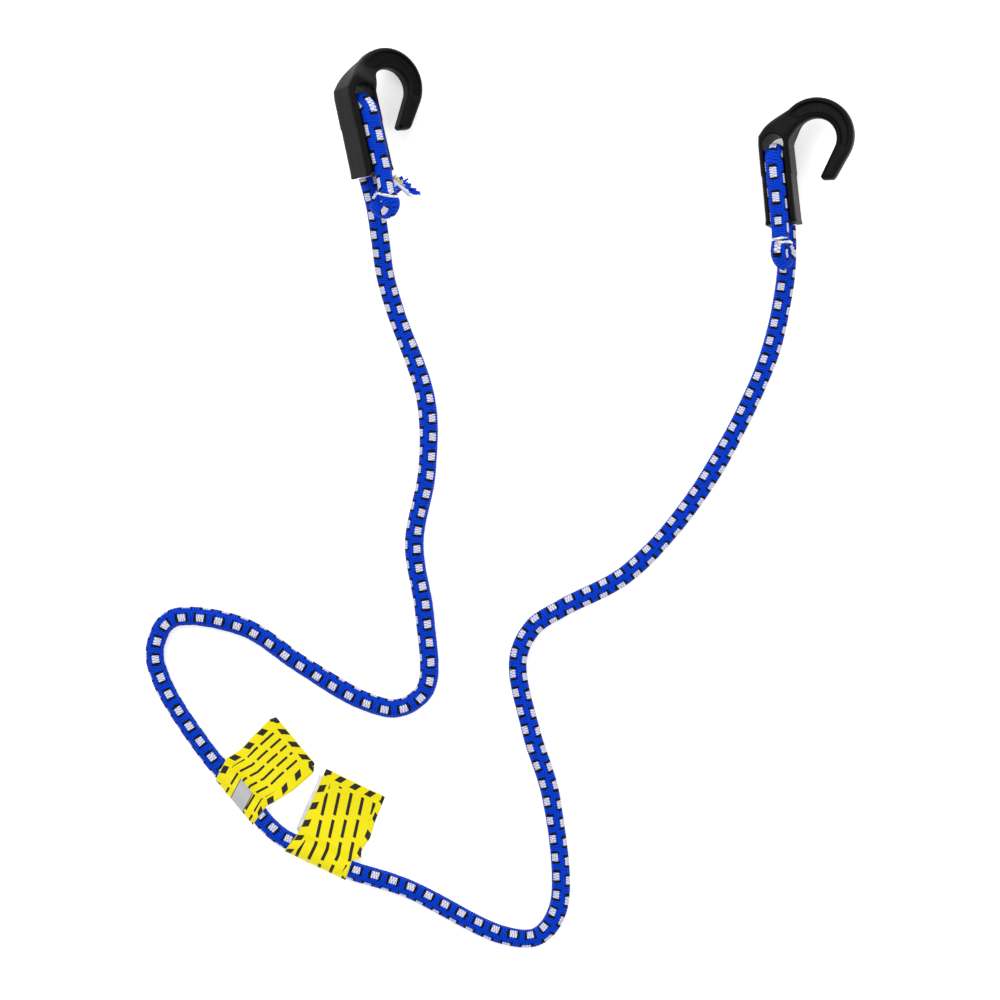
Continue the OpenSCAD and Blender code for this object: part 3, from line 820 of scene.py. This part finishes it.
def label(name, from_i, body, mat, top_n, low_n, start_top, start_low, end_top, end_low, curl, dip):
    """One strip of film: in along the flag's upper layer, round the cord, and out along the lower layer.
    start_* and end_* give the strip's two long edges as pairs: distance from the cord's axis, then place
    along the cord."""
    a, b = np.array(ROUTE[from_i], float), np.array(ROUTE[from_i + 1], float)
    along = unit(b - a)
    out = np.array([-along[1], along[0], 0.0])
    height = a[2]
    profile = []
    wrap_x, wrap_z = 4.95, 4.28
    join_n, join_z = 6.4, -1.6

    def flag_z(n, layer):
        f = np.clip((n - join_n) / (top_n - join_n), 0, 1)
        lie = join_z + (-height + 0.55 - join_z) * smooth(f * 1.9)
        return lie + curl * f ** 3 + layer

    for n in np.linspace(top_n, join_n, 40):
        profile.append((n, flag_z(n, 0.13), TOP_LAYER))
    for t in np.linspace(0.16 * math.pi, 1.86 * math.pi, 46):
        profile.append((wrap_x * math.cos(t) - 0.1, wrap_z * math.sin(t), WRAP))
    for n in np.linspace(join_n, low_n, 40):
        profile.append((n, flag_z(n, -0.13), LOW_LAYER))
    profile = np.array(profile)
    xy = profile[:, :2].copy()
    for _ in range(4):
        xy[1:-1] = (xy[:-2] + 2 * xy[1:-1] + xy[2:]) / 4
    part = profile[:, 2]
    strip = np.concatenate([[0], np.cumsum(np.linalg.norm(np.diff(xy, axis=0), axis=1))])
    cols = 30
    verts, uvs = [], []
    for (n, z), kind, v in zip(xy, part, strip):
        lo = np.interp(n, *zip(*(start_low if kind == LOW_LAYER else start_top)))
        hi = np.interp(n, *zip(*(end_low if kind == LOW_LAYER else end_top)))
        for c in range(cols + 1):
            t = lo + (hi - lo) * c / cols
            fall = smooth((n - join_n) / 10.0)
            wave = dip * math.sin(t * 0.21 + n * 0.12) * fall
            verts.append(a + along * t + out * n + np.array([0, 0, max(z + wave, -height + 0.10)]))
            uvs.append((t - np.interp(n, *zip(*start_top)) if kind != LOW_LAYER else hi - t, v))
    faces = [q[::-1] for q in grid_faces(len(xy), cols + 1, False)]
    piece = mesh_object(name, np.array(verts), faces, [mat, BACKING, BACKING], [0] * len(faces), uvs, "film")
    solid = piece.modifiers.new("film", "SOLIDIFY")
    solid.thickness = FILM_T * MM
    solid.offset = -1.0
    solid.material_offset = 1
    solid.material_offset_rim = 2
    bpy.context.view_layer.objects.active = piece
    piece.select_set(True)
    bpy.ops.object.modifier_apply(modifier=solid.name)
    piece.select_set(False)
    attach(piece, body)
    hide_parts(body)
    width = float(np.mean([e[1] for e in end_top]) - np.mean([s[1] for s in start_top]))
    return piece, width, float(strip[-1])


FILM_1 = film("label_film_1", 27.5, 84.0, 10.5, 18.2, 3.9, 0.06, 1.55)
FILM_2 = film("label_film_2", 30.0, 88.0, -9.0, -8.0, 5.4, -0.20, 1.95)
label_1, width_1, length_1 = label(
    "label_1_film", LABEL_1_FROM, "label_1", FILM_1, 32.6, 32.0,
    start_top=[(-5.3, 0.3), (5.1, -4.0), (11.2, -3.0), (17.0, -3.8), (30.0, -5.0), (33.0, -3.9)],
    start_low=[(-5.3, 0.3), (5.1, -4.0), (11.2, -3.0), (17.0, -3.6), (30.0, -4.7), (33.0, -3.6)],
    end_top=[(-5.3, 25.5), (5.1, 22.9), (7.8, 23.7), (18.0, 25.3), (29.5, 25.0), (32.6, 22.0)],
    end_low=[(-5.3, 25.5), (5.1, 22.9), (7.8, 23.4), (18.0, 25.0), (29.5, 24.6), (32.6, 22.0)],
    curl=1.4, dip=0.35)
label_2, width_2, length_2 = label(
    "label_2_film", LABEL_2_FROM, "label_2", FILM_2, 35.0, 31.3,
    start_top=[(-4.9, 0.2), (4.4, 2.2), (20.0, 1.7), (35.4, 1.2)],
    start_low=[(-4.9, 0.2), (4.4, 0.8), (12.0, 0.4), (31.3, -0.2)],
    end_top=[(-4.9, 29.6), (4.7, 28.4), (6.2, 31.6), (9.4, 30.4), (12.2, 30.6), (15.5, 31.4), (23.7, 30.2),
             (35.0, 29.6)],
    end_low=[(-4.9, 29.6), (4.7, 28.4), (6.2, 31.0), (9.4, 30.0), (12.2, 30.2), (15.5, 30.9), (29.3, 29.2)],
    curl=2.2, dip=0.35)

# ----------------------------------------------------------------------------------------------------
# Floor and light
# ----------------------------------------------------------------------------------------------------
floor_mat, _, _, floor_shader = material("floor_white", (0.93, 0.93, 0.93), 0.9, spec=0.1)
floor_shader.inputs["Emission Color"].default_value = (1.0, 1.0, 1.0, 1.0)
floor_shader.inputs["Emission Strength"].default_value = 0.38
FLOOR_HALF, FLOOR_Z = 6000, -0.3
CORNERS = ((-1, -1), (1, -1), (1, 1), (-1, 1))
floor = mesh_object("floor", [(x * FLOOR_HALF, y * FLOOR_HALF, FLOOR_Z) for x, y in CORNERS],
                    [(0, 1, 2, 3)], [floor_mat])


def area_light(name, location, target, size, power):
    """A round soft light aimed at target, in metres and watts."""
    data = bpy.data.lights.new(name, "AREA")
    data.shape = "DISK"
    data.size = size
    data.energy = power
    obj = bpy.data.objects.new(name, data)
    obj.location = location
    way = unit(np.array(target) - np.array(location))
    obj.rotation_euler = Vector(way).to_track_quat("-Z", "Y").to_euler()
    bpy.context.scene.collection.objects.link(obj)


CENTRE = (-0.04, -0.16, 0.0)
area_light("key", (-0.9, 0.7, 1.7), CENTRE, 1.1, 16.0)
area_light("fill", (1.2, -0.4, 1.6), CENTRE, 1.4, 9.0)
area_light("back", (0.1, 1.6, 1.0), CENTRE, 1.0, 6.0)
world = bpy.data.worlds.new("studio")
world.use_nodes = True
world.node_tree.nodes["Background"].inputs["Color"].default_value = (1.0, 1.0, 1.0, 1.0)
world.node_tree.nodes["Background"].inputs["Strength"].default_value = 0.78
bpy.context.scene.world = world
bpy.context.scene.view_settings.view_transform = "Standard"
